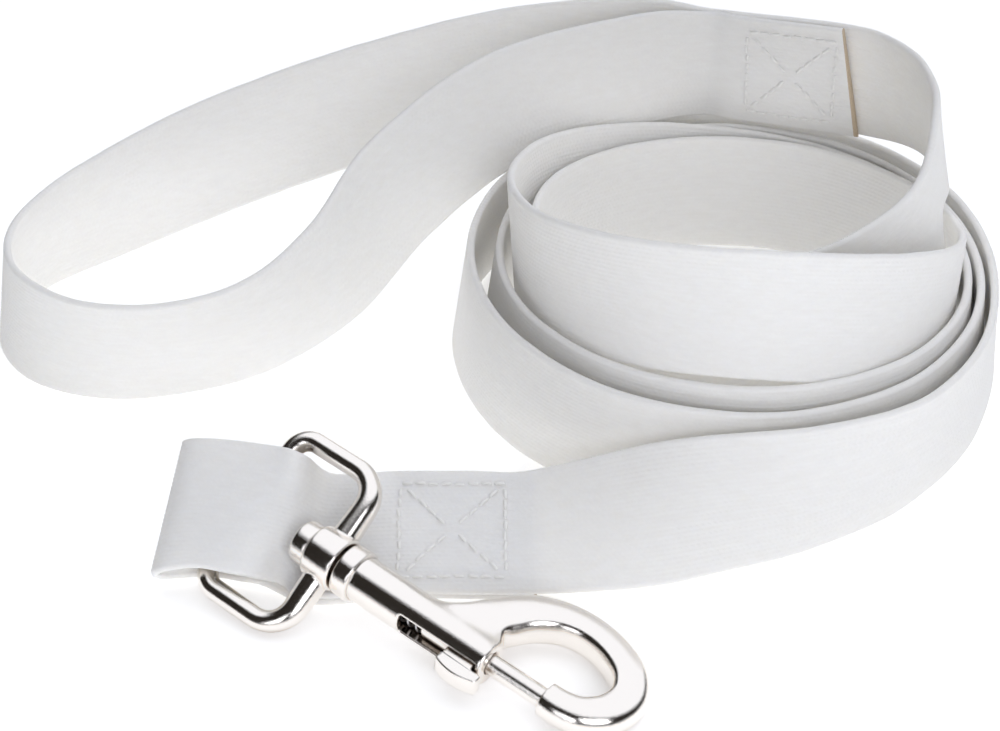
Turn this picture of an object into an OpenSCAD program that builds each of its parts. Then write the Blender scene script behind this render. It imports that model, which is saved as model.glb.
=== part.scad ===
// Training leash: flat webbing, hand loop at one end, swivel bolt snap at the other.
// It is laid out on a table, coiled clockwise seen from above. Units are mm.
// Origin: on the table, under the middle of the leash's box. +Z up, +X along the layout.

/* [Webbing] */
// Width of the webbing
strap_w = 25; // [24.4:0.1:25.2]
// Thickness of the webbing
strap_t = 1.6; // [1.2:0.1:1.6]
// Side of each sewn square
box_side = 19; // [16:0.5:20]
// Stitches along one side of a sewn square
stitches = 8; // [5:1:8]
// Diameter of the sewing thread
thread_d = 0.8; // [0.5:0.1:0.8]

/* [Swivel eye] */
// Diameter of the eye's wire
wire_d = 3.8; // [3.4:0.1:4.5]
// Width of the eye between the middles of its two sides
eye_w = 31.2; // [31.2:0.1:32]
// Diameter of the eye's boss
boss_d = 10; // [9.4:0.1:10.4]

/* [Snap hook] */
// Diameter of the collar at the back of the shank
collar_d = 9.6; // [9:0.1:10]
// Diameter of the shank
shank_d = 8.2; // [8:0.1:8.6]
// Diameter of the plunger
plunger_d = 3.6; // [3:0.1:3.8]
// How far the thumb stud draws the plunger back
travel = 9; // [8:0.25:9]

/* [Hidden] */
$fn = 48;

// Route of the webbing's middle line. Each point is [x, y, z, lean]: the lean is the angle in
// degrees from upright, and a positive lean moves the top edge to the left of the travel.
// The route starts at the cut end in the hand loop's seam and ends at the cut end by the snap.
ply_gap = 1.75;                 // middle to middle of two plies sewn together
tack_mid = [64, 71, 38.7];      // middle of the hand loop's seam, on its outer ply
tack_turn = -20;                // its direction seen from above
tack_rise = 0.04;               // its rise per mm to the right
tack_slant = 2.5;               // how far its cut end runs on at the bottom, and short at the top
handle_points = [
    [30.2, 70.4, 39.2, -10], [2.2, 55.6, 38.3, -16], [-18.8, 39.4, 29.6, -18], [-31.8, 21.9, 20.8, -9],
    [-46.3, 9.9, 16, 5], [-62.8, 4.9, 14, 9], [-79.3, 5.9, 13.1, 4], [-93.3, 13.9, 12.9, -5],
    [-99.8, 26.9, 13, -11], [-96.3, 42.4, 13, -8], [-81.8, 56.9, 14.5, 6], [-58.3, 67.4, 21, 20],
    [-28.8, 74.4, 29, 24], [3.2, 78.4, 36.2, 18], [31.2, 79, 39, 6]];
bend_points = [[86.4, 54.2, 41.5, -12], [88.6, 38.9, 43, -14]];
lead_points = [[93.2, -4.1, 12.8, -2], [77.7, -24.1, 12.8, 0], [58.2, -34.1, 12.7, -11],
    [38.7, -37.6, 11.6, -30], [21.2, -38.9, 8.8, -57]];
seam_mid = [-7.3, -39.1, 6.5];  // middle of the snap end's seam, on its upper ply
seam_lean = -72;

// The coil: radius, height and lean at the right, front, left and back of each turn
coil_mid = [48.7, 24.4];
coil_turns = 4;
coil_r = [37, 37.5, 40.5, 39, 42, 46, 44.6, 42, 45.8, 49.4, 49.2, 46.9, 48.6, 52.8, 55, 54.7, 51.7];
coil_z = [44, 31.5, 19.5, 13.3, 18.5, 41.2, 28.5, 13.9, 13.4, 16, 12.8, 12.8, 12.8, 12.8, 12.8,
    12.8, 12.8];
coil_lean = [-9, -18, 0, 14, 2, -10, 4, 16, -7, 2, -8, 4, -8, 2, -8, -7, -9];

// The snap hook's frame: its boss, the direction of its shank, and the roll of its eye
boss_mid = [-28.1, -49.55, 9.9];
hook_turn = -37;
hook_pitch = 6.8;
eye_roll = 32;
bar_back = 18.4;                // from the boss's middle back to the middle of the bar
bar_mid = boss_mid - bar_back * hook_dir(1, 0, 0);

// The flattened loop of webbing round the bar: its own direction and tilt
loop_turn = 12.5;
loop_tilt = 34;
loop_run = [-cos(loop_turn), sin(loop_turn), 0];
loop_side = [sin(loop_turn) * cos(loop_tilt), cos(loop_turn) * cos(loop_tilt), sin(loop_tilt)];
loop_up = cross(loop_side, loop_run);
loop_half = 3.55;               // from the bar's middle to each ply's middle
loop_end = 14.5;                // from the bar's middle to the fold
loop_shift = 1.3;               // how far the loop sits towards the eye's near side
eye_squeeze = 0.94;             // width of the webbing inside the eye, of its own width

// The webbing beside the eye, under the boss: side direction and the two plies' middles
under_side = unit([0.06, 0.93, 0.36]);
under_upper = [-30.5, -40.6, 7.1];
under_lower = [-30.5, -40.2, 5.3];

function hook_dir(x, y, z) =
    let (px = x * cos(hook_pitch) + z * sin(hook_pitch))
    [px * cos(hook_turn) - y * sin(hook_turn), px * sin(hook_turn) + y * cos(hook_turn),
        z * cos(hook_pitch) - x * sin(hook_pitch)];

function unit(v) = v / norm(v);

// Catmull-Rom value at station i and part f of the way to the next one
function between(p, i, f) =
    let (n = len(p), b = p[i], c = p[min(i + 1, n - 1)],
        a = i > 0 ? p[i - 1] : 2 * b - c,
        d = i + 2 < n ? p[i + 2] : 2 * c - b)
    0.5 * (2 * b + (c - a) * f + (2 * a - 5 * b + 4 * c - d) * f * f
        + (3 * b - a - 3 * c + d) * f * f * f);

// Width direction of the webbing from its lean and the travel's direction
function lean_side(run, lean) =
    let (left = unit([-run[1], run[0], 0]), up = [0, 0, 1])
    up * cos(lean) + left * sin(lean);

// Stations as [x, y, z, side x, side y, side z, width]
function framed(points) = [for (i = [0 : len(points) - 1])
    let (p = points[i], a = points[max(i - 1, 0)], b = points[min(i + 1, len(points) - 1)],
        run = unit([b[0] - a[0], b[1] - a[1], b[2] - a[2]]),
        s = lean_side(run, p[3]), side = unit(s - run * (run * s)))
    [p[0], p[1], p[2], side[0], side[1], side[2], 1]];

function tack_point(along, inward) =
    [tack_mid[0] + along * cos(tack_turn) + inward * sin(tack_turn),
        tack_mid[1] + along * sin(tack_turn) - inward * cos(tack_turn),
        tack_mid[2] + tack_rise * along, 0];

coil_step = 30;
function coil_point(u) =
    let (i = floor(u / 90), f = u / 90 - i)
    [coil_mid[0] + between(coil_r, i, f) * cos(-u), coil_mid[1] + between(coil_r, i, f) * sin(-u),
        between(coil_z, i, f), between(coil_lean, i, f)];

seam_run = [-1, 0, 0];
seam_side = lean_side(seam_run, seam_lean);
seam_up = cross(seam_side, seam_run);
function seam_point(along, below) =
    concat(seam_mid + along * [1, 0, 0] - below * seam_up, seam_side, 1);

// A station of the loop round the bar. A twist lifts its far edge and lowers its near one.
function loop_point(along, up, twist = 0) =
    let (spread = max(0, along - 7) / (loop_end - 7))
    concat(bar_mid + along * loop_run + up * loop_up - (loop_shift + 1.4 * spread) * loop_side,
        loop_side * cos(twist) + loop_up * sin(twist), eye_squeeze + (1 - eye_squeeze) * spread);

route = concat(
    framed(concat(
        [for (s = [13, -11, -19]) tack_point(s, ply_gap)],
        handle_points,
        [for (s = [-19, -11, 13]) tack_point(s, 0)],
        bend_points,
        [for (u = [0 : coil_step : 360 * coil_turns]) coil_point(u)],
        lead_points,
        [[6.2, -39.1, 6.5, seam_lean], [-4.8, -39.1, 6.5, seam_lean]])),
    [seam_point(-10, 0), concat(under_upper, under_side, 1)],
    [loop_point(-7.5, 0.9, 17), loop_point(-3.5, 3.1, 5), loop_point(0.5, loop_half, 1),
        loop_point(6, loop_half), loop_point(11, loop_half - 0.3), loop_point(loop_end - 0.9, 2),
        loop_point(loop_end, 0), loop_point(loop_end - 0.9, -2), loop_point(11, 0.3 - loop_half),
        loop_point(6, -loop_half), loop_point(0, -loop_half), loop_point(-4, -loop_half - 0.4)],
    [concat(under_lower, under_side, 1), seam_point(-10, ply_gap), seam_point(4, ply_gap),
        seam_point(15, ply_gap)]);

handle_end = 3 + len(handle_points) + 3;         // last station of the hand loop's seam
coil_end = handle_end + len(bend_points) + 1 + 360 * coil_turns / coil_step;
lead_end = coil_end + len(lead_points) + 2;

// Webbing between two stations: a rectangle swept along the route
module webbing(first, last, steps = 5) {
    count = (last - first) * steps;
    at = [for (k = [0 : count]) let (i = min(first + floor(k / steps), last - 1))
        between(route, i, first + k / steps - i)];
    function spot(k) = [at[k][0], at[k][1], at[k][2]];
    rings = [for (k = [0 : count])
        let (run = unit(spot(min(k + 1, count)) - spot(max(k - 1, 0))),
            side = unit([at[k][3], at[k][4], at[k][5]]),
            face = unit(cross(side, run)))
        for (c = [[1, 1], [1, -1], [-1, -1], [-1, 1]])
            spot(k) + c[0] * strap_w / 2 * at[k][6] * side + c[1] * strap_t / 2 * face
                + (first + k == 0 ? c[0] * tack_slant * run : [0, 0, 0])];
    faces = concat([[0, 1, 2, 3]],
        [for (k = [0 : count - 1]) for (j = [0 : 3])
            let (a = 4 * k + j, b = 4 * k + (j + 1) % 4)
            each [[a, a + 4, b], [b, a + 4, b + 4]]],
        [[4 * count + 3, 4 * count + 2, 4 * count + 1, 4 * count]]);
    polyhedron(points = rings, faces = faces, convexity = 10);
}

// One row of stitches lying on a face, each half sunk into it
module stitch_row(from, to, count) {
    reach = to - from;
    pitch = norm(reach) / count;
    for (k = [0.5 : count - 0.5])
        translate(concat(from + reach * k / count, 0))
            rotate([0, 0, atan2(reach[1], reach[0])])
                rotate([0, 90, 0])
                    cylinder(h = pitch * 0.72, d = thread_d, center = true, $fn = 16);
}

// A sewn square with a cross in it, on the XY plane
module box_x() {
    h = box_side / 2;
    inset = h - 1.2;
    for (s = [-1, 1]) {
        stitch_row([-h, s * h], [h, s * h], stitches);
        stitch_row([s * h, -h + 1], [s * h, h - 1], stitches);
        stitch_row([-inset, -s * inset], [-1, -s], stitches / 2);
        stitch_row([1, s], [inset, s * inset], stitches / 2);
    }
}

// Moves its children onto the hand loop's seam: X along the webbing, Z to its inner ply
module on_tack(level) {
    translate(tack_mid)
        rotate([0, -atan(tack_rise), tack_turn])
            rotate([90, 0, 0])
                translate([0, 0, level])
                    children();
}

// Moves its children onto the snap end's seam: X along the webbing, Z up from its upper ply
module on_seam(level) {
    translate(seam_mid)
        rotate([90 + seam_lean, 0, 0])
            translate([0, 0, level])
                children();
}

// Moves its children into the snap hook's frame: X along the shank to the tip, Y to the bow
module in_hook() {
    translate(boss_mid)
        rotate([0, hook_pitch, hook_turn])
            children();
}

// A solid of revolution about X from a half outline of [radius, x] points
module turned(outline) {
    rotate([0, 90, 0])
        rotate_extrude()
            polygon(outline);
}

// A half round solid ring about X, as wide as its angle
module bend(radius, angle = 90) {
    rotate_extrude(angle = angle)
        translate([radius, 0])
            circle(d = wire_d);
}

module webbing_handle() color("white") webbing(0, handle_end);

module webbing_coil() color("white") webbing(handle_end, coil_end);

module webbing_lead() color("white") webbing(coil_end, lead_end);

module webbing_fold() color("white") webbing(lead_end, len(route) - 1);

module handle_needle_thread() color("ivory") on_tack(ply_gap + strap_t / 2) box_x();

module handle_bobbin_thread() color("ivory") on_tack(-strap_t / 2) box_x();

module snap_needle_thread() color("ivory") on_seam(strap_t / 2) box_x();

module snap_bobbin_thread() color("ivory") on_seam(-ply_gap - strap_t / 2) box_x();

boss_half = 3;
pin_d = 5;
running_gap = 0.05;
corner_r = 3.6;
arm_r = 5.5;

// Eye: a rounded frame of wire with a bored boss in the middle of its front side
module swivel_eye() color("silver") in_hook() rotate([eye_roll, 0, 0]) difference() {
    union() {
        for (s = [0, 1]) mirror([0, s, 0]) {
            translate([-bar_back, 0, 0])
                rotate([-90, 0, 0])
                    cylinder(h = eye_w / 2 - corner_r, d = wire_d);
            translate([-bar_back + corner_r, eye_w / 2 - corner_r, 0])
                rotate([0, 0, 90])
                    bend(corner_r);
            translate([-bar_back + corner_r, eye_w / 2, 0])
                rotate([0, 90, 0])
                    cylinder(h = bar_back - corner_r - arm_r, d = wire_d);
            translate([-arm_r, eye_w / 2 - arm_r, 0])
                bend(arm_r);
            rotate([-90, 0, 0])
                cylinder(h = eye_w / 2 - arm_r, d = wire_d);
        }
        turned([[0, -boss_half], [boss_d / 2 - 0.6, -boss_half], [boss_d / 2, 0.6 - boss_half],
            [boss_d / 2, boss_half - 0.6], [boss_d / 2 - 0.6, boss_half], [0, boss_half]]);
    }
    rotate([0, 90, 0])
        cylinder(h = 20, d = pin_d + 2 * running_gap, center = true);
}

collar_back = 3.5;
collar_front = 7;
bore_d = 5.2;
plug_front = 9;
nose = 35.2;
bore_front = 34.3;
tip_face = 46.2;

// Swivel pin: a rivet with a head behind the eye, pressed into the back of the shank
module swivel_pin() color("silver") in_hook()
    turned([[0, -6.5], [3.4, -6.5], [4, -5.9], [4, -3.6], [3.6, -3.1], [pin_d / 2, -3.1],
        [pin_d / 2, collar_back], [bore_d / 2, collar_back], [bore_d / 2, plug_front],
        [0, plug_front]]);

// Bow stations: middle x, middle y, half width in the bow's plane and half thickness
bow = [[26, 2.5, 3, 3.7], [30.4, 8, 4.6, 3.5], [34.2, 12.5, 4.2, 3.3], [38.8, 15.2, 3.6, 3.2],
    [44, 16.1, 3.3, 3.2], [49.5, 15.2, 3.3, 3.2], [54.2, 12.7, 3.4, 3.2], [56.7, 8.6, 3.4, 3.1],
    [56, 4.2, 3.3, 3], [52.9, 1, 3, 2.9], [49.4, 0, 2.8, 2.8], [tip_face, 0, 2.7, 2.7]];
bow_sides = 16;

// Bow: a rounded section swept along its stations
module bow_sweep(steps = 4) {
    count = (len(bow) - 1) * steps;
    at = [for (k = [0 : count]) let (i = min(floor(k / steps), len(bow) - 2))
        between(bow, i, k / steps - i)];
    rings = [for (k = [0 : count])
        let (run = unit([for (c = [0, 1]) at[min(k + 1, count)][c] - at[max(k - 1, 0)][c]]))
        for (j = [0 : bow_sides - 1])
            let (a = 360 * (j + 0.5) / bow_sides,
                across = sign(cos(a)) * pow(abs(cos(a)), 0.7) * at[k][2],
                up = sign(sin(a)) * pow(abs(sin(a)), 0.7) * at[k][3])
            [at[k][0] + run[1] * across, at[k][1] - run[0] * across, up]];
    faces = concat([[for (j = [bow_sides - 1 : -1 : 0]) j]],
        [for (k = [0 : count - 1]) for (j = [0 : bow_sides - 1])
            let (a = bow_sides * k + j, b = bow_sides * k + (j + 1) % bow_sides)
            each [[a, b, a + bow_sides], [b, b + bow_sides, a + bow_sides]]],
        [[for (j = [0 : bow_sides - 1]) bow_sides * count + j]]);
    polyhedron(points = rings, faces = faces, convexity = 6);
}

slot_w = 4;
slot_back = 18;

// Snap body: collar, shank and bow in one casting, bored for the plunger and slotted
module snap_body() color("silver") in_hook() difference() {
    union() {
        turned([[0, collar_back], [collar_d / 2 - 0.5, collar_back],
            [collar_d / 2, collar_back + 0.5], [collar_d / 2, collar_front - 0.5],
            [collar_d / 2 - 0.5, collar_front], [0, collar_front]]);
        turned([[0, collar_front - 1], [shank_d / 2, collar_front - 1], [shank_d / 2, nose - 0.6],
            [shank_d / 2 - 0.6, nose], [0, nose]]);
        bow_sweep();
    }
    rotate([0, 90, 0])
        cylinder(h = bore_front, d = bore_d);
    rotate([0, 90, 0])
        cylinder(h = tip_face - 3, d = plunger_d + 2 * running_gap);
    translate([tip_face - 4, 0, 0])
        rotate([0, 90, 0])
            cylinder(h = 5, d = plunger_d + 0.3);
    translate([slot_back, -6, -slot_w / 2])
        cube([bore_front - slot_back, 6, slot_w]);
}

piston_back = 22;
piston_front = 34.1;
stud_mid = 30.6;
tenon_d = 2.4;

// Plunger: a piston in the bore and the rod that closes the bow
module plunger() color("silver") in_hook() difference() {
    turned([[0, piston_back], [bore_d / 2 - 0.06, piston_back], [bore_d / 2 - 0.06, piston_front],
        [plunger_d / 2, piston_front], [plunger_d / 2, tip_face + 0.3], [plunger_d / 2 - 0.4,
        tip_face + 0.7], [0, tip_face + 0.7]]);
    translate([stud_mid, 1.5, 0])
        rotate([90, 0, 0])
            cylinder(h = 6, d = tenon_d);
}

// Thumb stud: a curved pad, a block that runs in the slot and a tenon into the plunger
module thumb_stud() color("silver") in_hook() {
    translate([stud_mid, 1.5, 0])
        rotate([90, 0, 0])
            cylinder(h = 4.3, d = tenon_d);
    translate([0, 0, 0.2 - slot_w / 2])
        linear_extrude(slot_w - 0.4) {
            translate([stud_mid - 2.5, -5])
                square([5.9, 2.35]);
            intersection() {
                translate([stud_mid - 2.7, -8.4])
                    square([8.3, 4.1]);
                translate([stud_mid + 1.4, 3])
                    circle(r = 10);
            }
        }
}

spring_turns = 7;
spring_wire = 0.5;
spring_sides = 6;
spring_steps = 14;

// Spring: a round wire coil between the pin's end and the piston
module plunger_spring() color("silver") in_hook() {
    count = spring_turns * spring_steps;
    ring_r = bore_d / 2 - 0.25 - spring_wire / 2;
    back = plug_front + 0.05 + spring_wire / 2;
    pitch = (piston_back - plug_front - 0.1 - spring_wire) / spring_turns;
    points = [for (k = [0 : count]) let (a = 360 * k / spring_steps)
        for (j = [0 : spring_sides - 1])
            let (b = 360 * j / spring_sides, r = ring_r + spring_wire / 2 * cos(b))
            [back + pitch * k / spring_steps + spring_wire / 2 * sin(b), r * cos(a), r * sin(a)]];
    faces = concat([[for (j = [spring_sides - 1 : -1 : 0]) j]],
        [for (k = [0 : count - 1]) for (j = [0 : spring_sides - 1])
            let (a = spring_sides * k + j, b = spring_sides * k + (j + 1) % spring_sides)
            each [[a, b, a + spring_sides], [b, b + spring_sides, a + spring_sides]]],
        [[for (j = [0 : spring_sides - 1]) spring_sides * count + j]]);
    polyhedron(points = points, faces = faces, convexity = 20);
}

webbing_handle();
webbing_coil();
webbing_lead();
webbing_fold();
handle_needle_thread();
handle_bobbin_thread();
snap_needle_thread();
snap_bobbin_thread();
swivel_eye();
swivel_pin();
snap_body();
plunger_spring();
plunger();
thumb_stud();
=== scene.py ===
"""Looks of the training leash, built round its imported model. Lengths are in metres."""
import math

import bpy
import numpy as np
from mathutils import Matrix, Vector


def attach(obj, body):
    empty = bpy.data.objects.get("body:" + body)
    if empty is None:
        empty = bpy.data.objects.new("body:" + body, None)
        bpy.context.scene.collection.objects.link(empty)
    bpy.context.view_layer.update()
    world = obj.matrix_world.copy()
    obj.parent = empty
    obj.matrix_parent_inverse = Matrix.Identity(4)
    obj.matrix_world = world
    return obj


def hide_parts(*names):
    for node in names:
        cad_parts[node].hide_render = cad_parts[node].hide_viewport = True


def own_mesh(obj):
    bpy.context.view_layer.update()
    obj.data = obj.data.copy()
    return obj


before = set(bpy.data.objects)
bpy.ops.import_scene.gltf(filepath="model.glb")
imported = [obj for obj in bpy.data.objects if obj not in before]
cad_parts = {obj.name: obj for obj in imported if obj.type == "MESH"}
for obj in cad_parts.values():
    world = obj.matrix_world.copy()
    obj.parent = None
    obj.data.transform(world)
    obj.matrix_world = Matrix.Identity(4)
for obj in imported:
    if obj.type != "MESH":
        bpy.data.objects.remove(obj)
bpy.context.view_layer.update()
draw = np.random.default_rng(7)

# ---------------------------------------------------------------- driving sizes
STRAP_WIDTH = 0.025
STRAP_THICK = 0.0016
PLY_GAP = 0.00175            # middle to middle of two plies sewn together
SEALED = 0.0005              # length of webbing browned at each heat-cut end
RIBS = 28                    # warp ribs across the webbing
RIB_DEPTH = 0.00009
PICK_PITCH = 0.0011          # one weft pick to the next
WAVE = 0.0025                # share by which the webbing's width wanders
BOX_SIDE = 0.019             # side of a sewn square
STITCHES = 8                 # along one side of a sewn square
THREAD_RADIUS = 0.0003
ROW_PITCH = 0.0016           # between rows of points along the webbing

BOSS_MIDDLE = np.array([-0.0281, -0.04955, 0.0099])
HOOK_TURN = math.radians(-37)
HOOK_PITCH = math.radians(6.8)
EYE_ROLL = math.radians(32)
BAR_BACK = 0.0184            # from the boss's middle back to the eye's bar
EYE_WIDTH = 0.0312
WIRE_RADIUS = 0.0019

# ---------------------------------------------------------------- frames of the hardware
HOOK = (Matrix.Translation(Vector(BOSS_MIDDLE))
        @ Matrix.Rotation(HOOK_TURN, 4, "Z") @ Matrix.Rotation(HOOK_PITCH, 4, "Y"))
EYE = HOOK @ Matrix.Rotation(EYE_ROLL, 4, "X")
BAR_MIDDLE = np.array(HOOK @ Vector((-BAR_BACK, 0, 0)))

# ---------------------------------------------------------------- route of the webbing
# Points are (x, y, z, lean): the lean is in degrees from upright, and a positive lean
# moves the top edge to the left of the travel.
TACK_MIDDLE = np.array([0.064, 0.071, 0.0387])
TACK_TURN = math.radians(-20)
TACK_RISE = 0.04
TACK_SLANT = 0.0025          # how far the cut end runs on at the bottom, and short at the top
HANDLE_POINTS = [
    (0.0302, 0.0704, 0.0392, -10), (0.0022, 0.0556, 0.0383, -16), (-0.0188, 0.0394, 0.0296, -18),
    (-0.0318, 0.0219, 0.0208, -9), (-0.0463, 0.0099, 0.016, 5), (-0.0628, 0.0049, 0.014, 9),
    (-0.0793, 0.0059, 0.0131, 4), (-0.0933, 0.0139, 0.0129, -5), (-0.0998, 0.0269, 0.013, -11),
    (-0.0963, 0.0424, 0.013, -8), (-0.0818, 0.0569, 0.0145, 6), (-0.0583, 0.0674, 0.021, 20),
    (-0.0288, 0.0744, 0.029, 24), (0.0032, 0.0784, 0.0362, 18), (0.0312, 0.079, 0.039, 6)]
BEND_POINTS = [(0.0864, 0.0542, 0.0415, -12), (0.0886, 0.0389, 0.043, -14)]
COIL_MIDDLE = np.array([0.0487, 0.0244])
COIL_TURNS = 4
COIL_STEP = 30
# Radius and height in mm and lean in degrees, at the right, front, left and back of each turn
COIL_RADIUS = [37, 37.5, 40.5, 39, 42, 46, 44.6, 42, 45.8, 49.4, 49.2, 46.9, 48.6, 52.8, 55,
               54.7, 51.7]
COIL_HEIGHT = [44, 31.5, 19.5, 13.3, 18.5, 41.2, 28.5, 13.9, 13.4, 16, 12.8, 12.8, 12.8, 12.8, 12.8,
               12.8, 12.8]
COIL_LEAN = [-9, -18, 0, 14, 2, -10, 4, 16, -7, 2, -8, 4, -8, 2, -8, -7, -9]
LEAD_POINTS = [
    (0.0932, -0.0041, 0.0128, -2), (0.0777, -0.0241, 0.0128, 0), (0.0582, -0.0341, 0.0127, -11),
    (0.0387, -0.0376, 0.0116, -30), (0.0212, -0.0389, 0.0088, -57),
    (0.0062, -0.0391, 0.0065, -72), (-0.0048, -0.0391, 0.0065, -72)]
SEAM_MIDDLE = np.array([-0.0073, -0.0391, 0.0065])
SEAM_LEAN = -72
UNDER_SIDE = (0.06, 0.93, 0.36)
UNDER_UPPER = (-0.0305, -0.0406, 0.0071)
UNDER_LOWER = (-0.0305, -0.0402, 0.0053)
LOOP_TURN = math.radians(12.5)
LOOP_TILT = math.radians(34)
LOOP_HALF = 0.00355          # from the bar's middle to each ply's middle
LOOP_END = 0.0145            # from the bar's middle to the fold
LOOP_SHIFT = 0.0013          # how far the loop sits towards the eye's near side
EYE_SQUEEZE = 0.94           # width of the webbing inside the eye, of its own width


def unit(v):
    v = np.asarray(v, dtype=float)
    return v / np.linalg.norm(v)


def lean_side(run, lean):
    """Width direction of webbing that travels along run and leans by lean degrees."""
    left = unit((-run[1], run[0], 0))
    turn = math.radians(lean)
    side = np.array([0, 0, math.cos(turn)]) + left * math.sin(turn)
    return unit(side - run * np.dot(run, side))


def framed(points):
    """Stations of 7 numbers: place, width direction and share of the width."""
    stations = []
    for i, point in enumerate(points):
        before = np.array(points[max(i - 1, 0)][:3])
        after = np.array(points[min(i + 1, len(points) - 1)][:3])
        side = lean_side(unit(after - before), point[3])
        stations.append([*point[:3], *side, 1])
    return stations


def catmull(values, at):
    """Catmull-Rom values of a list of rows at the given (not whole) row numbers."""
    rows = np.array(values, dtype=float)
    rows = np.vstack([2 * rows[0] - rows[1], rows, 2 * rows[-1] - rows[-2]])
    first = np.clip(np.floor(at).astype(int), 0, len(rows) - 4)
    f = (at - first)[:, None]
    a, b, c, d = (rows[first + k] for k in range(4))
    return 0.5 * (2 * b + (c - a) * f + (2 * a - 5 * b + 4 * c - d) * f ** 2
                  + (3 * b - a - 3 * c + d) * f ** 3)


def tack_point(along, inward):
    x = TACK_MIDDLE[0] + along * math.cos(TACK_TURN) + inward * math.sin(TACK_TURN)
    y = TACK_MIDDLE[1] + along * math.sin(TACK_TURN) - inward * math.cos(TACK_TURN)
    return (x, y, TACK_MIDDLE[2] + TACK_RISE * along, 0)


def coil_points():
    angles = np.arange(0, 360 * COIL_TURNS + 1, COIL_STEP)
    rows = np.column_stack([COIL_RADIUS, COIL_HEIGHT, COIL_LEAN])
    radius, height, lean = catmull(rows, angles / 90).T
    turn = -np.radians(angles)
    x = COIL_MIDDLE[0] + radius * 0.001 * np.cos(turn)
    y = COIL_MIDDLE[1] + radius * 0.001 * np.sin(turn)
    return list(zip(x, y, height * 0.001, lean))


def seam_point(along, below):
    side = lean_side(np.array([-1.0, 0, 0]), SEAM_LEAN)
    up = np.cross(side, (-1, 0, 0))
    return [*(SEAM_MIDDLE + np.array([along, 0, 0]) - below * up), *side, 1]


def loop_point(along, above, twist=0):
    """A station of the loop round the bar; a twist in degrees lifts its far edge."""
    run = np.array([-math.cos(LOOP_TURN), math.sin(LOOP_TURN), 0])
    side = np.array([math.sin(LOOP_TURN) * math.cos(LOOP_TILT),
                     math.cos(LOOP_TURN) * math.cos(LOOP_TILT), math.sin(LOOP_TILT)])
    up = np.cross(side, run)
    spread = max(0, along - 0.007) / (LOOP_END - 0.007)
    place = BAR_MIDDLE + along * run + above * up - (LOOP_SHIFT + 0.0014 * spread) * side
    turn = math.radians(twist)
    return [*place, *(side * math.cos(turn) + up * math.sin(turn)),
            EYE_SQUEEZE + (1 - EYE_SQUEEZE) * spread]


def route():
    mm = 0.001
    start = framed([tack_point(s * mm, PLY_GAP) for s in (13, -11, -19)] + HANDLE_POINTS
                   + [tack_point(s * mm, 0) for s in (-19, -11, 13)] + BEND_POINTS
                   + coil_points() + LEAD_POINTS)
    over = [seam_point(-10 * mm, 0), [*UNDER_UPPER, *unit(UNDER_SIDE), 1]]
    h = LOOP_HALF
    end = LOOP_END - 0.9 * mm
    loop = [loop_point(-7.5 * mm, 0.9 * mm, 17), loop_point(-3.5 * mm, 3.1 * mm, 5),
            loop_point(0.5 * mm, h, 1), loop_point(6 * mm, h), loop_point(11 * mm, h - 0.3 * mm),
            loop_point(end, 2 * mm), loop_point(LOOP_END, 0), loop_point(end, -2 * mm),
            loop_point(11 * mm, 0.3 * mm - h), loop_point(6 * mm, -h), loop_point(0, -h),
            loop_point(-4 * mm, -h - 0.4 * mm)]
    under = [[*UNDER_LOWER, *unit(UNDER_SIDE), 1], seam_point(-10 * mm, PLY_GAP),
             seam_point(4 * mm, PLY_GAP), seam_point(15 * mm, PLY_GAP)]
    return start + over + loop + under


# ---------------------------------------------------------------- mesh helpers
def mesh_piece(name, points, faces, materials, body, smooth=True):
    """A mesh object of that name that rides a body. materials may be one or several."""
    mesh = bpy.data.meshes.new(name)
    mesh.from_pydata([tuple(p) for p in points], [], [tuple(f) for f in faces])
    mesh.update()
    for material in materials if isinstance(materials, list) else [materials]:
        mesh.materials.append(material)
    mesh.polygons.foreach_set("use_smooth", [smooth] * len(mesh.polygons))
    obj = bpy.data.objects.new(name, mesh)
    bpy.context.scene.collection.objects.link(obj)
    if body:
        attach(obj, body)
    return obj


def grid_faces(rows, columns):
    """Quads between rows of points; each row's last point joins its first."""
    r = np.arange(rows - 1)[:, None] * columns
    c = np.arange(columns)[None, :]
    n = (c + 1) % columns
    quads = np.stack([r + c, r + n, r + columns + n, r + columns + c], axis=-1)
    return quads.reshape(-1, 4).tolist()


def end_faces(rows, columns):
    """Faces that close the first and the last of the rows of points."""
    return [list(range(columns))[::-1], list(range((rows - 1) * columns, rows * columns))]


def tube_faces(rows, columns):
    return grid_faces(rows, columns) + end_faces(rows, columns)


def ring_faces(rows, columns):
    """Quads between rows of points whose last row joins the first."""
    last = (rows - 1) * columns
    ends = [[last + k, last + (k + 1) % columns, (k + 1) % columns, k] for k in range(columns)]
    return grid_faces(rows, columns) + ends


def turned(outline, sides):
    turn = np.linspace(0, 2 * math.pi, sides, endpoint=False)
    return [(x, r * math.cos(a), r * math.sin(a)) for x, r in outline for a in turn]


def lathe(outline, sides=64):
    """A closed solid of revolution about X from (x, radius) points."""
    return turned(outline, sides), tube_faces(len(outline), sides)


def ring_lathe(outline, sides=96):
    """A solid of revolution about X whose outline closes on itself, such as a tube."""
    return turned(outline, sides), ring_faces(len(outline), sides)


def placed(points, matrix):
    """The points after a move by a 4 by 4 matrix."""
    grid = np.array(points, dtype=float)
    turn = np.array(matrix.to_3x3())
    return grid @ turn.T + np.array(matrix.translation)


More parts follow.
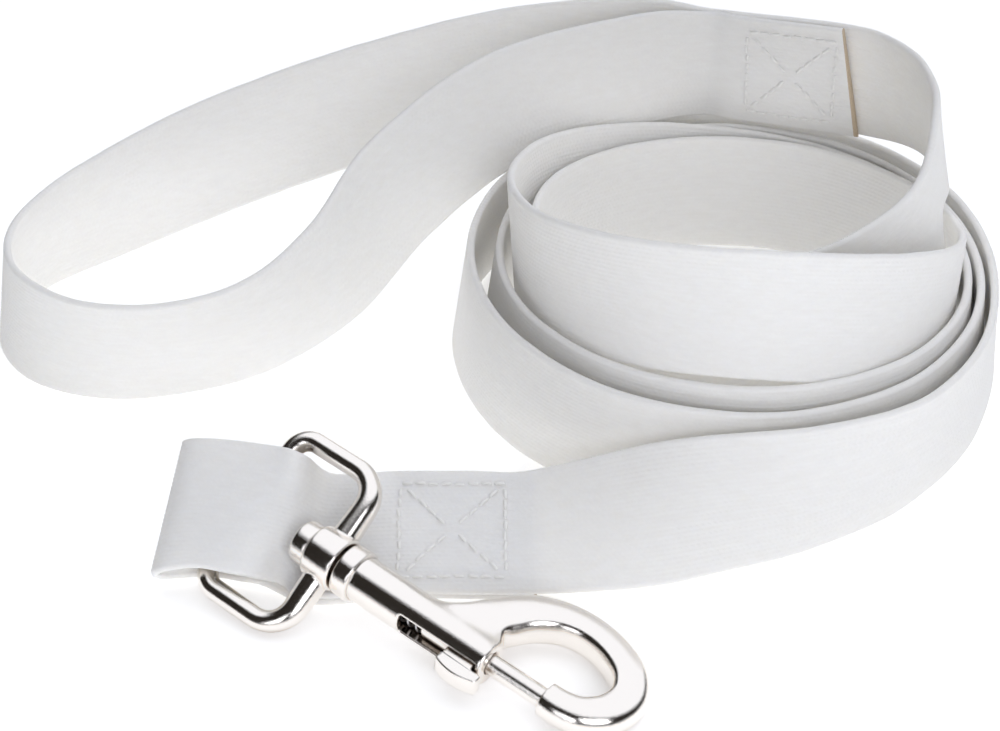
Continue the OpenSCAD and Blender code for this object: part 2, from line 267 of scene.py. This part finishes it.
def rounded(corners, radius, steps=5):
    """An open outline with its inner corners replaced by arcs of about that radius."""
    result = [corners[0]]
    for before, corner, after in zip(corners, corners[1:], corners[2:]):
        before, corner, after = (np.array(p, dtype=float) for p in (before, corner, after))
        sides = (np.linalg.norm(before - corner), np.linalg.norm(after - corner))
        reach = min(radius, sides[0] / 2, sides[1] / 2)
        a = corner + unit(before - corner) * reach
        b = corner + unit(after - corner) * reach
        for t in np.linspace(0, 1, steps):
            result.append(tuple((1 - t) ** 2 * a + 2 * t * (1 - t) * corner + t ** 2 * b))
    return result + [corners[-1]]


# ---------------------------------------------------------------- materials
def new_material(name):
    material = bpy.data.materials.new(name)
    material.use_nodes = True
    tree = material.node_tree
    return material, tree, tree.nodes["Principled BSDF"]


def math_node(tree, operation, a, b=None):
    node = tree.nodes.new("ShaderNodeMath")
    node.operation = operation
    for socket, value in zip(node.inputs, (a, b)):
        if value is None:
            continue
        if isinstance(value, (int, float)):
            socket.default_value = value
        else:
            tree.links.new(value, socket)
    return node.outputs[0]


def noise_node(tree, scale, detail=2):
    """Noise between 0 and 1, with about that many waves to the metre."""
    node = tree.nodes.new("ShaderNodeTexNoise")
    node.inputs["Scale"].default_value = scale
    node.inputs["Detail"].default_value = detail
    return node.outputs[0]


def colour_node(tree, factor, *stops):
    """A colour that follows factor, from two stops of (position, red, green, blue)."""
    node = tree.nodes.new("ShaderNodeValToRGB")
    for element, stop in zip(node.color_ramp.elements, stops):
        element.position = stop[0]
        element.color = (*stop[1:], 1)
    tree.links.new(factor, node.inputs[0])
    return node.outputs[0]


def range_node(tree, factor, low, high):
    """A number that goes from low to high as factor goes from 0 to 1."""
    node = tree.nodes.new("ShaderNodeMapRange")
    node.inputs["To Min"].default_value = low
    node.inputs["To Max"].default_value = high
    tree.links.new(factor, node.inputs["Value"])
    return node.outputs[0]


def bump_node(tree, height, strength, distance):
    node = tree.nodes.new("ShaderNodeBump")
    node.inputs["Strength"].default_value = strength
    node.inputs["Distance"].default_value = distance
    tree.links.new(height, node.inputs["Height"])
    return node


def webbing_material():
    """White woven webbing: weft picks and fine fibres as bump, a soft sheen."""
    material, tree, shader = new_material("webbing_white")
    uv = tree.nodes.new("ShaderNodeUVMap")
    uv.uv_map = "weave"
    split = tree.nodes.new("ShaderNodeSeparateXYZ")
    tree.links.new(uv.outputs[0], split.inputs[0])
    along = math_node(tree, "MULTIPLY", split.outputs[0], 2 * math.pi / PICK_PITCH)
    across = math_node(tree, "MULTIPLY", split.outputs[1], math.pi * RIBS / STRAP_WIDTH)
    stagger = math_node(tree, "MULTIPLY", math_node(tree, "COSINE", across), 1.6)
    pick = math_node(tree, "SINE", math_node(tree, "ADD", along, stagger))
    fibres = noise_node(tree, 900, 3)
    weave = math_node(tree, "ADD", math_node(tree, "MULTIPLY", pick, 0.5), fibres)
    bump = bump_node(tree, weave, 0.35, 0.00008)
    tree.links.new(bump.outputs[0], shader.inputs["Normal"])
    tone = noise_node(tree, 60, 4)
    white = colour_node(tree, tone, (0.3, 0.93, 0.91, 0.875), (0.7, 0.955, 0.94, 0.905))
    tree.links.new(white, shader.inputs["Base Color"])
    shader.inputs["Roughness"].default_value = 0.62
    shader.inputs["Subsurface Weight"].default_value = 0.4
    shader.inputs["Subsurface Radius"].default_value = (1.0, 0.93, 0.8)
    shader.inputs["Subsurface Scale"].default_value = 0.003
    shader.inputs["Sheen Weight"].default_value = 0.1
    shader.inputs["Sheen Roughness"].default_value = 0.4
    return material


def thread_material():
    """White polyester thread with fine fibres."""
    material, tree, shader = new_material("thread_white")
    shader.inputs["Base Color"].default_value = (0.94, 0.93, 0.905, 1)
    shader.inputs["Roughness"].default_value = 0.5
    bump = bump_node(tree, noise_node(tree, 2500), 0.4, 0.00005)
    tree.links.new(bump.outputs[0], shader.inputs["Normal"])
    return material


def cut_edge_material():
    """Heat-cut end of the webbing: tan, slightly glossy where the fibres melted."""
    material, tree, shader = new_material("cut_edge_tan")
    tan = colour_node(tree, noise_node(tree, 700), (0, 0.50, 0.36, 0.22), (1, 0.72, 0.62, 0.48))
    tree.links.new(tan, shader.inputs["Base Color"])
    shader.inputs["Roughness"].default_value = 0.5
    return material


def nickel_material():
    """Nickel plated casting: polished, with shade painted dark brown into its recesses, faint waves
    and wear.
    """
    material, tree, shader = new_material("nickel_plated")
    shader.inputs["Metallic"].default_value = 1
    # Painted shade: ambient occlusion darkens the base colour to brown in recesses and gaps,
    # standing in for the shade there.
    recess = tree.nodes.new("ShaderNodeAmbientOcclusion")
    recess.inputs["Distance"].default_value = 0.006
    painted_recess_shade = colour_node(tree, recess.outputs["AO"],
                          (0.25, 0.42, 0.36, 0.31), (0.75, 0.90, 0.86, 0.81))
    tree.links.new(painted_recess_shade, shader.inputs["Base Color"])
    wear = range_node(tree, noise_node(tree, 350, 5), 0.08, 0.18)
    tree.links.new(wear, shader.inputs["Roughness"])
    bump = bump_node(tree, noise_node(tree, 160), 0.12, 0.0002)
    bevel = tree.nodes.new("ShaderNodeBevel")
    bevel.samples = 6
    bevel.inputs["Radius"].default_value = 0.0005
    tree.links.new(bevel.outputs[0], bump.inputs["Normal"])
    tree.links.new(bump.outputs[0], shader.inputs["Normal"])
    return material


def spring_material():
    """Plain drawn steel wire."""
    material, tree, shader = new_material("spring_steel")
    shader.inputs["Base Color"].default_value = (0.5, 0.5, 0.51, 1)
    shader.inputs["Metallic"].default_value = 1
    wear = range_node(tree, noise_node(tree, 1500), 0.25, 0.45)
    tree.links.new(wear, shader.inputs["Roughness"])
    return material


def floor_material():
    """Plain white sweep that glows a little, so it stays white in the webbing's shade."""
    material, _, shader = new_material("floor_white")
    shader.inputs["Base Color"].default_value = (0.94, 0.94, 0.94, 1)
    shader.inputs["Emission Color"].default_value = (1, 1, 1, 1)
    shader.inputs["Emission Strength"].default_value = 0.43
    shader.inputs["Roughness"].default_value = 0.9
    shader.inputs["Specular IOR Level"].default_value = 0.1
    return material


WEBBING = webbing_material()
THREAD = thread_material()
CUT_EDGE = cut_edge_material()
NICKEL = nickel_material()
SPRING_STEEL = spring_material()
FLOOR = floor_material()


# ---------------------------------------------------------------- camera
CAMERA_TARGET = Vector((0.0012, 0.0179, 0))
CAMERA_REACH = 0.383
CAMERA_DOWN = math.radians(37.6)
CAMERA_LENS = 67.3           # on a sensor 36 mm wide


def add_camera():
    """Looks along +Y and down at the leash."""
    data = bpy.data.cameras.new("camera")
    data.sensor_width = 36
    data.lens = CAMERA_LENS
    camera = bpy.data.objects.new("camera", data)
    back = Vector((0, -math.cos(CAMERA_DOWN), math.sin(CAMERA_DOWN)))
    camera.location = CAMERA_TARGET + CAMERA_REACH * back
    camera.rotation_euler = (math.pi / 2 - CAMERA_DOWN, 0, 0)
    bpy.context.scene.collection.objects.link(camera)
    bpy.context.scene.camera = camera


# ---------------------------------------------------------------- webbing
def strap_section(per_rib=4, edge_steps=5):
    """Closed cross-section as (across, out of face): ribbed faces and rounded selvedges."""
    half = STRAP_THICK / 2
    flat = STRAP_WIDTH / 2 - half * 0.9
    x = np.linspace(flat, -flat, RIBS * per_rib + 1)
    rise = half - RIB_DEPTH * (1 - np.cos(2 * math.pi * x * RIBS / (2 * flat))) / 2
    face = np.column_stack([x, rise])
    turn = np.linspace(0, math.pi, edge_steps + 2)[1:-1]
    edge = np.column_stack([-flat - half * 0.9 * np.sin(turn), half * np.cos(turn)])
    return np.vstack([face, edge, -face, -edge])


def slow_noise(count, spacing, smooth, size):
    """Smooth random waviness along the strap: about size high, smooth long."""
    window = max(3, int(smooth / spacing))
    values = draw.normal(size=count + 2 * window)
    kernel = np.hanning(window)
    values = np.convolve(values, kernel / np.sqrt((kernel ** 2).sum()), mode="same")
    return values[window:window + count] * size


def unit_rows(rows):
    return rows / np.linalg.norm(rows, axis=1)[:, None]


def strap_rows():
    """Distance along the webbing of each row of points, and the route's values there."""
    stations = route()
    fine = np.linspace(0, len(stations) - 1, 40 * len(stations))
    steps = np.diff(catmull(stations, fine)[:, :3], axis=0)
    length = np.concatenate([[0], np.cumsum(np.linalg.norm(steps, axis=1))])
    total = length[-1]
    reach = np.linspace(0, total, int(total / ROW_PITCH) + 1)
    reach = np.concatenate([[0, SEALED], reach[1:-1], [total - SEALED, total]])
    return reach, catmull(stations, np.interp(reach, length, fine))


def strap_points(reach, at, section):
    """The section's points at every row, with the first end cut on a slant."""
    place = at[:, :3]
    run = unit_rows(np.gradient(place, axis=0))
    side = unit_rows(at[:, 3:6])
    face = unit_rows(np.cross(side, run))
    share = at[:, 6] + slow_noise(len(reach), ROW_PITCH, 0.012, WAVE)
    across = section[:, 0][None, :] * share[:, None]
    points = (place[:, None, :] + across[:, :, None] * side[:, None, :]
              + section[:, 1][None, :, None] * face[:, None, :])
    near_end = np.clip(1 - reach / 0.004, 0, 1)[:, None, None]
    slant = across / (STRAP_WIDTH / 2) * TACK_SLANT
    return points + near_end * slant[:, :, None] * run[:, None, :]


def make_webbing():
    reach, at = strap_rows()
    section = strap_section()
    points = strap_points(reach, at, section)
    rows = len(reach)
    columns = len(section)
    strap = mesh_piece("webbing", points.reshape(-1, 3), tube_faces(rows, columns),
                       [WEBBING, CUT_EDGE], "leash")
    mesh = strap.data
    sealed = [*range(columns), *range((rows - 2) * columns, len(mesh.polygons))]
    for i in sealed:
        mesh.polygons[i].material_index = 1
    for polygon in mesh.polygons[-2:]:
        polygon.use_smooth = False
    uv = mesh.uv_layers.new(name="weave")
    where = np.column_stack([np.repeat(reach, columns), np.tile(section[:, 0], rows)])
    loops = np.empty(len(mesh.loops), dtype=int)
    mesh.loops.foreach_get("vertex_index", loops)
    uv.data.foreach_set("uv", where[loops].ravel())
    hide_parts("webbing_handle", "webbing_coil", "webbing_lead", "webbing_fold")


# ---------------------------------------------------------------- stitching
STITCH_STEPS = 7
STITCH_SIDES = 8


def stitch(length):
    """One stitch on the XY plane along X: an arched thread whose ends dip under the face."""
    turn = np.linspace(0, 2 * math.pi, STITCH_SIDES, endpoint=False)
    points = []
    for t in np.linspace(-1, 1, STITCH_STEPS):
        lift = THREAD_RADIUS * (0.35 - 1.5 * abs(t) ** 3)
        thick = THREAD_RADIUS * (1 - 0.25 * t ** 2)
        for a in turn:
            points.append((t * length / 2, thick * math.cos(a) * 1.15, lift + thick * math.sin(a)))
    return np.array(points), tube_faces(STITCH_STEPS, STITCH_SIDES)


def stitch_rows():
    """Middles, turns and lengths of the stitches of a square with a cross in it."""
    gap = 0.001
    h = BOX_SIDE / 2
    inset = h - 0.0012
    rows = []
    for s in (-1, 1):
        rows.append(((-h, s * h), (h, s * h), STITCHES))
        rows.append(((s * h, gap - h), (s * h, h - gap), STITCHES))
        rows.append(((-inset, -s * inset), (-gap, -s * gap), STITCHES // 2))
        rows.append(((gap, s * gap), (inset, s * inset), STITCHES // 2))
    result = []
    for start, end, count in rows:
        start, end = np.array(start), np.array(end)
        pitch = np.linalg.norm(end - start) / count
        turn = math.atan2(*(end - start)[::-1])
        for k in range(count):
            middle = start + (end - start) * (k + 0.5) / count
            result.append((middle, turn, pitch * 0.86))
    return result


def make_stitches(name, matrix, node):
    """All the stitches of one thread, each a little out of line."""
    points = []
    faces = []
    for middle, turn, length in stitch_rows():
        grid, quads = stitch(length)
        turn = turn + draw.normal() * 0.06
        spin = np.array([[math.cos(turn), -math.sin(turn)], [math.sin(turn), math.cos(turn)]])
        grid[:, :2] = grid[:, :2] @ spin.T + middle + draw.normal(size=2) * 0.00008
        faces += [[i + len(points) for i in quad] for quad in quads]
        points += grid.tolist()
    thread = mesh_piece(name, placed(points, matrix), faces, THREAD, "leash")
    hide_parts(node)


def make_seams():
    """Needle and bobbin stitches of the hand loop's seam and of the snap's."""
    half = STRAP_THICK / 2
    tack = (Matrix.Translation(Vector(TACK_MIDDLE)) @ Matrix.Rotation(TACK_TURN, 4, "Z")
            @ Matrix.Rotation(-math.atan(TACK_RISE), 4, "Y") @ Matrix.Rotation(math.pi / 2, 4, "X"))
    seam = (Matrix.Translation(Vector(SEAM_MIDDLE))
            @ Matrix.Rotation(math.radians(90 + SEAM_LEAN), 4, "X"))
    flip = Matrix.Rotation(math.pi, 4, "X")
    for name, base, top, bottom in (
            ("handle", tack, PLY_GAP + half, -half), ("snap", seam, half, -PLY_GAP - half)):
        make_stitches(name + "_needle_stitches", base @ Matrix.Translation((0, 0, top)),
                      name + "_needle_thread")
        make_stitches(name + "_bobbin_stitches", base @ Matrix.Translation((0, 0, bottom)) @ flip,
                      name + "_bobbin_thread")


# ---------------------------------------------------------------- hardware
def sweep(path, widths, heights, section, closed=False):
    """A section of (across, up) points swept along a path in the XY plane."""
    path = np.array(path, dtype=float)
    if closed:
        run = np.roll(path, -1, axis=0) - np.roll(path, 1, axis=0)
    else:
        run = np.gradient(path, axis=0)
    run /= np.linalg.norm(run, axis=1)[:, None]
    left = np.column_stack([-run[:, 1], run[:, 0], np.zeros(len(run))])
    section = np.array(section)
    points = (path[:, None, :] + left[:, None, :] * (section[:, 0] * widths[:, None])[:, :, None]
              + np.array([0, 0, 1.0]) * (section[:, 1] * heights[:, None])[:, :, None])
    faces = ring_faces if closed else tube_faces
    return points.reshape(-1, 3), faces(len(path), len(section))


def join(*parts):
    """One list of points and faces from several."""
    points = []
    faces = []
    for grid, quads in parts:
        faces += [[i + len(points) for i in quad] for quad in quads]
        points += [tuple(p) for p in grid]
    return points, faces


def circle_section(sides=24):
    turn = np.linspace(0, 2 * math.pi, sides, endpoint=False)
    return np.column_stack([np.cos(turn), np.sin(turn)])


def metal_piece(name, node, solid, place, body, material=NICKEL):
    """A piece of hardware, in the eye's or the hook's frame, that stands for a CAD node."""
    points, faces = solid
    piece = mesh_piece(name, placed(points, place), faces, material, body)
    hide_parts(node)
    return piece


EYE_BACK_BEND = 0.0036
EYE_FRONT_BEND = 0.0055
EYE_STEP = 0.0012            # between sections of the wire along its straights
BOSS_HALF = 0.003
BOSS_RADIUS = 0.005
PIN_RADIUS = 0.0025
PIN_BACK = -0.0065
PIN_FRONT = 0.0036
PIN_HEAD = 0.004
RUNNING_GAP = 0.0001         # between two pieces that turn on each other
AXIS = 0.0001                # how near a turned piece's ends come to its axis


def eye_path():
    """Middle line of the eye's wire: four bends and the straights between them."""
    half = EYE_WIDTH / 2
    back = -BAR_BACK + EYE_BACK_BEND
    path = []
    for x, y, radius, start in ((-EYE_FRONT_BEND, half - EYE_FRONT_BEND, EYE_FRONT_BEND, 0),
                                (back, half - EYE_BACK_BEND, EYE_BACK_BEND, 90),
                                (back, EYE_BACK_BEND - half, EYE_BACK_BEND, 180),
                                (-EYE_FRONT_BEND, EYE_FRONT_BEND - half, EYE_FRONT_BEND, 270)):
        for a in np.radians(np.linspace(start, start + 90, 13)):
            path.append(np.array([x + radius * math.cos(a), y + radius * math.sin(a), 0]))
    stations = []
    for before, after in zip(path, path[1:] + path[:1]):
        steps = max(1, int(np.linalg.norm(after - before) / EYE_STEP))
        stations += [before + (after - before) * k / steps for k in range(steps)]
    return np.array(stations)


def make_eye():
    """Frame of round wire with a boss in the middle of its front side."""
    path = eye_path()
    front = np.clip(1 + path[:, 0] / 0.006, 0, 1)
    near_boss = 1 - np.abs(path[:, 1]) / (EYE_WIDTH / 2)
    radius = WIRE_RADIUS * (1 + front ** 2 * (0.12 + 0.3 * near_boss))
    wire = sweep(path, radius, radius, circle_section(), closed=True)
    bore = PIN_RADIUS + RUNNING_GAP
    boss = lathe(rounded([(-BOSS_HALF, bore), (-BOSS_HALF, BOSS_RADIUS), (BOSS_HALF, BOSS_RADIUS),
                          (BOSS_HALF, bore)], 0.0006))
    metal_piece("eye", "swivel_eye", join(wire, boss), EYE, "eye")


def make_pin():
    """Rivet with its head behind the boss and its far end fixed in the snap's collar."""
    head = -BOSS_HALF - RUNNING_GAP
    outline = [(PIN_BACK, AXIS), (PIN_BACK, PIN_HEAD), (head, PIN_HEAD), (head, PIN_RADIUS),
               (PIN_FRONT, PIN_RADIUS), (PIN_FRONT, AXIS)]
    metal_piece("swivel_pin", "swivel_pin", lathe(rounded(outline, 0.0007)), HOOK, "hook")


# Bow stations in the hook's frame, mm: middle x, middle y, half width, half thickness
BOW = [(26, 2.5, 3, 3.7), (30.4, 8, 4.6, 3.5), (34.2, 12.5, 4.2, 3.3), (38.8, 15.2, 3.6, 3.2),
       (44, 16.1, 3.3, 3.2), (49.5, 15.2, 3.3, 3.2), (54.2, 12.7, 3.4, 3.2), (56.7, 8.6, 3.4, 3.1),
       (56, 4.2, 3.3, 3), (52.9, 1, 3, 2.9), (49.4, 0, 2.8, 2.8), (46.2, 0, 2.7, 2.7)]
COLLAR_BACK = 0.0035
COLLAR_FRONT = 0.007
COLLAR_RADIUS = 0.0048
SHANK_BACK = 0.0066
SHANK_RADIUS = 0.0041
BORE_RADIUS = 0.0026
NOSE = 0.0352                # front end of the shank
NOSE_BORE = 0.0019
SLOT_BACK = 0.018
SLOT_FRONT = 0.0343
SLOT_HALF = 0.002
TIP_FACE = 0.0462            # where the bow ends, against the plunger
TIP_POCKET = 0.001
VOXEL = 0.00022
PISTON_BACK = 0.022
PISTON_FRONT = 0.0341
PISTON_RADIUS = 0.0025
PLUNGER_RADIUS = 0.0018
# Outline of the web that fills the corner between shank and bow
WEB = [(0.0185, 0.001), (0.0345, 0.001), (0.0345, 0.0035), (0.0334, 0.0055), (0.031, 0.008),
       (0.0282, 0.0092), (0.0252, 0.0064), (0.022, 0.0035)]
WEB_HALF = 0.0035


def bow_section(sides=48):
    """Flat inner wall with small corners, and a broad round outside."""
    points = []
    for a in np.linspace(0, 2 * math.pi, sides, endpoint=False):
        power = 0.4 if math.cos(a) < 0 else 0.95
        across = math.copysign(abs(math.cos(a)) ** power, math.cos(a))
        up = math.copysign(abs(math.sin(a)) ** 0.85, math.sin(a))
        points.append((across, up))
    return points


def block(low, high):
    """A closed box as points and faces."""
    ends = list(zip(low, high))
    points = [(x, y, z) for z in ends[2] for y in ends[1] for x in ends[0]]
    faces = [[0, 2, 3, 1], [4, 5, 7, 6], [0, 1, 5, 4], [2, 6, 7, 3], [0, 4, 6, 2], [1, 3, 7, 5]]
    return points, faces


def prism(outline, half):
    """A closed solid between -half and half in Z over an outline, as points and faces."""
    return [(x, y, z) for z in (-half, half) for x, y in outline], tube_faces(2, len(outline))


def helper_object(solid):
    points, faces = solid
    mesh = bpy.data.meshes.new("work")
    mesh.from_pydata([tuple(p) for p in points], [], [tuple(f) for f in faces])
    piece = bpy.data.objects.new("work", mesh)
    bpy.context.scene.collection.objects.link(piece)
    return piece


def worked(solid, add_modifier):
    """Points and faces of a solid after one modifier."""
    piece = helper_object(solid)
    add_modifier(piece)
    result = piece.evaluated_get(bpy.context.evaluated_depsgraph_get()).data
    points = np.array([v.co for v in result.vertices])
    faces = [list(p.vertices) for p in result.polygons]
    bpy.data.objects.remove(piece)
    return points, faces


def cut(solid, cutter):
    """One solid less another."""
    tool = helper_object(cutter)

    def subtract(piece):
        modifier = piece.modifiers.new("cut", "BOOLEAN")
        modifier.operation = "DIFFERENCE"
        modifier.solver = "EXACT"
        modifier.object = tool

    result = worked(solid, subtract)
    bpy.data.objects.remove(tool)
    return result


def fused(solid, size):
    """Overlapping closed solids as one skin of faces about that size."""
    def remesh(piece):
        modifier = piece.modifiers.new("fuse", "REMESH")
        modifier.mode = "VOXEL"
        modifier.voxel_size = size

    return worked(solid, remesh)


def smoothed(points, faces, weight, rounds):
    """Points moved towards their neighbours' middle, each by its weight, that many times."""
    quads = np.array(faces)
    near = np.concatenate([quads, np.roll(quads, -1, axis=1)]).ravel()
    far = np.concatenate([np.roll(quads, -1, axis=1), quads]).ravel()
    count = np.bincount(near, minlength=len(points))[:, None]
    for _ in range(rounds):
        total = np.column_stack([np.bincount(near, points[far, k], len(points)) for k in range(3)])
        points = points + (total / count - points) * weight[:, None]
    return points


def make_bow():
    """The bow, with the pocket in its end that takes the plunger's tip."""
    rows = catmull(BOW, np.linspace(0, len(BOW) - 1, 110)) * 0.001
    path = np.column_stack([rows[:, 0], rows[:, 1], np.zeros(len(rows))])
    bow = sweep(path, rows[:, 2], rows[:, 3], bow_section())
    pocket = PLUNGER_RADIUS + 0.00015
    return cut(bow, lathe([(0.02, pocket), (TIP_FACE + TIP_POCKET, pocket)]))


def make_shank():
    """A tube with a slot along one side for the stud."""
    outer = rounded([(SHANK_BACK, BORE_RADIUS), (SHANK_BACK, SHANK_RADIUS), (NOSE, SHANK_RADIUS),
                     (NOSE, NOSE_BORE)], 0.0006)
    tube = ring_lathe(outer + [(SLOT_FRONT, NOSE_BORE), (SLOT_FRONT, BORE_RADIUS)])
    slot = block((SLOT_BACK, -0.006, -SLOT_HALF), (SLOT_FRONT, 0, SLOT_HALF))
    return cut(tube, slot)


def make_snap_body():
    """Collar, and the shank and bow cast together with a web that runs out smoothly."""
    points, faces = fused(join(make_shank(), make_bow(), prism(WEB, WEB_HALF)), VOXEL)
    away = np.linalg.norm((points - (0.0275, 0.0055, 0)) * (0.5, 0.75, 0.3), axis=1)
    web = np.clip(1.6 - away / 0.0042, 0, 1) * np.clip(points[:, 1] / 0.001 + 0.5, 0, 1)
    points = smoothed(points, faces, 0.12 + 0.5 * web, 2)
    points = smoothed(points, faces, 0.6 * web, 120)
    collar = lathe(rounded([(COLLAR_BACK, AXIS), (COLLAR_BACK, COLLAR_RADIUS),
                            (COLLAR_FRONT, COLLAR_RADIUS), (COLLAR_FRONT, 0.0038)], 0.0006))
    metal_piece("snap_body", "snap_body", join(collar, (points, faces)), HOOK, "hook")


def make_plunger():
    """Rod with a wider piston inside the shank."""
    outline = [(PISTON_BACK, AXIS), (PISTON_BACK, PISTON_RADIUS), (PISTON_FRONT, PISTON_RADIUS),
               (PISTON_FRONT, PLUNGER_RADIUS), (TIP_FACE + 0.0004, PLUNGER_RADIUS),
               (TIP_FACE + 0.0007, AXIS)]
    metal_piece("plunger", "plunger", lathe(rounded(outline, 0.0003)), HOOK, "bolt")


STUD_MIDDLE = 0.0306
STUD_HALF = 0.0018           # half of its thickness
STUD_BACK = STUD_MIDDLE - 0.0025
STUD_FRONT = STUD_MIDDLE + 0.0034
PAD_BACK = STUD_MIDDLE - 0.0027
PAD_FRONT = STUD_MIDDLE + 0.0056
PAD_TOP = -0.0043            # the pad's face next to the shank
STUD_TOP = -0.0018
CROWN_RADIUS = 0.01
CROWN_MIDDLE = (STUD_MIDDLE + 0.0014, 0.003)
STUD_EDGE = 0.0004           # radius of the stud's rounded edges


def stud_outline():
    """The plate that runs in the slot, and outside it the wider pad with its curved face."""
    x = np.linspace(PAD_BACK, PAD_FRONT, 17)
    y = CROWN_MIDDLE[1] - np.sqrt(CROWN_RADIUS ** 2 - (x - CROWN_MIDDLE[0]) ** 2)
    crown = list(zip(x, y))
    back = rounded([(STUD_BACK, STUD_TOP), (STUD_BACK, PAD_TOP), (PAD_BACK, PAD_TOP), crown[0]],
                   0.0003)
    front = rounded([crown[-1], (PAD_FRONT, PAD_TOP), (STUD_FRONT, PAD_TOP),
                     (STUD_FRONT, STUD_TOP)], 0.0005)
    return np.array(back + crown[1:-1] + front)


def make_stud():
    """Thumb stud: its outline made thick, with rounded edges on both faces."""
    outline = stud_outline()
    run = np.roll(outline, -1, axis=0) - np.roll(outline, 1, axis=0)
    inward = np.column_stack([-run[:, 1], run[:, 0]]) / np.linalg.norm(run, axis=1)[:, None]
    levels = [(STUD_HALF - STUD_EDGE * (1 - math.sin(a)), STUD_EDGE * (1 - math.cos(a)))
              for a in np.linspace(0, math.pi / 2, 5)]
    rows = [(-z, inset) for z, inset in levels[::-1]] + levels
    points = [(x, y, z) for z, inset in rows for x, y in outline + inward * inset]
    solid = (points, tube_faces(len(rows), len(outline)))
    metal_piece("thumb_stud", "thumb_stud", solid, HOOK, "bolt")


SPRING_TURNS = 7
SPRING_WIRE = 0.00025
SPRING_RADIUS = BORE_RADIUS - 0.0005
SPRING_BACK = 0.0093
SPRING_FRONT = 0.0217


def make_spring():
    """A coil of round wire behind the piston, drawn at a single length."""
    sides = 8
    turn = np.linspace(0, 2 * math.pi * SPRING_TURNS, SPRING_TURNS * 24 + 1)
    middle = np.linspace(SPRING_BACK, SPRING_FRONT, len(turn))[:, None]
    section = np.linspace(0, 2 * math.pi, sides, endpoint=False)[None, :]
    radius = SPRING_RADIUS + SPRING_WIRE * np.cos(section)
    points = np.stack([middle + SPRING_WIRE * np.sin(section), radius * np.cos(turn)[:, None],
                       radius * np.sin(turn)[:, None]], axis=-1)
    solid = (points.reshape(-1, 3), tube_faces(len(turn), sides))
    spring = metal_piece("plunger_spring", "plunger_spring", solid, HOOK, "hook",
                         SPRING_STEEL)
    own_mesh(spring)


# ---------------------------------------------------------------- stage
FLOOR_HALF = 3
SKY_AXIS = (0.28, 0.40, 0.87)


def add_floor():
    h = FLOOR_HALF
    points = [(-h, -h, 0), (h, -h, 0), (h, h, 0), (-h, h, 0)]
    floor = mesh_piece("floor", points, [(0, 1, 2, 3)], FLOOR, None, smooth=False)


def add_sky():
    """A large pale ceiling, tilted to the back and right, in a dark room."""
    world = bpy.data.worlds.new("studio")
    world.use_nodes = True
    tree = world.node_tree
    place = tree.nodes.new("ShaderNodeTexCoord")
    towards = tree.nodes.new("ShaderNodeVectorMath")
    towards.operation = "DOT_PRODUCT"
    towards.inputs[1].default_value = unit(SKY_AXIS)
    tree.links.new(place.outputs["Generated"], towards.inputs[0])
    light = colour_node(tree, towards.outputs["Value"],
                        (0.6, 0.02, 0.017, 0.015), (0.68, 0.92, 0.94, 1))
    tree.links.new(light, tree.nodes["Background"].inputs[0])
    tree.nodes["Background"].inputs[1].default_value = 1.16
    bpy.context.scene.world = world


def add_light(name, place, size, power):
    """A square lamp of that many watts, aimed at the middle of the leash."""
    data = bpy.data.lights.new(name, "AREA")
    data.color = (0.92, 0.94, 1)
    data.size = size
    data.energy = power
    light = bpy.data.objects.new(name, data)
    light.location = place
    aim = Vector((0, 0, 0.02)) - Vector(place)
    light.rotation_euler = aim.to_track_quat("-Z", "Y").to_euler()
    bpy.context.scene.collection.objects.link(light)


def add_lights():
    add_sky()
    add_light("front", (0.12, -0.46, 0.27), 0.25, 0.85)
    add_light("left", (-0.42, -0.78, 0.34), 0.4, 1.2)


add_camera()
make_webbing()
make_seams()
make_eye()
make_pin()
make_snap_body()
make_plunger()
make_stud()
make_spring()
add_floor()
add_lights()
bpy.context.scene.view_settings.view_transform = "Standard"
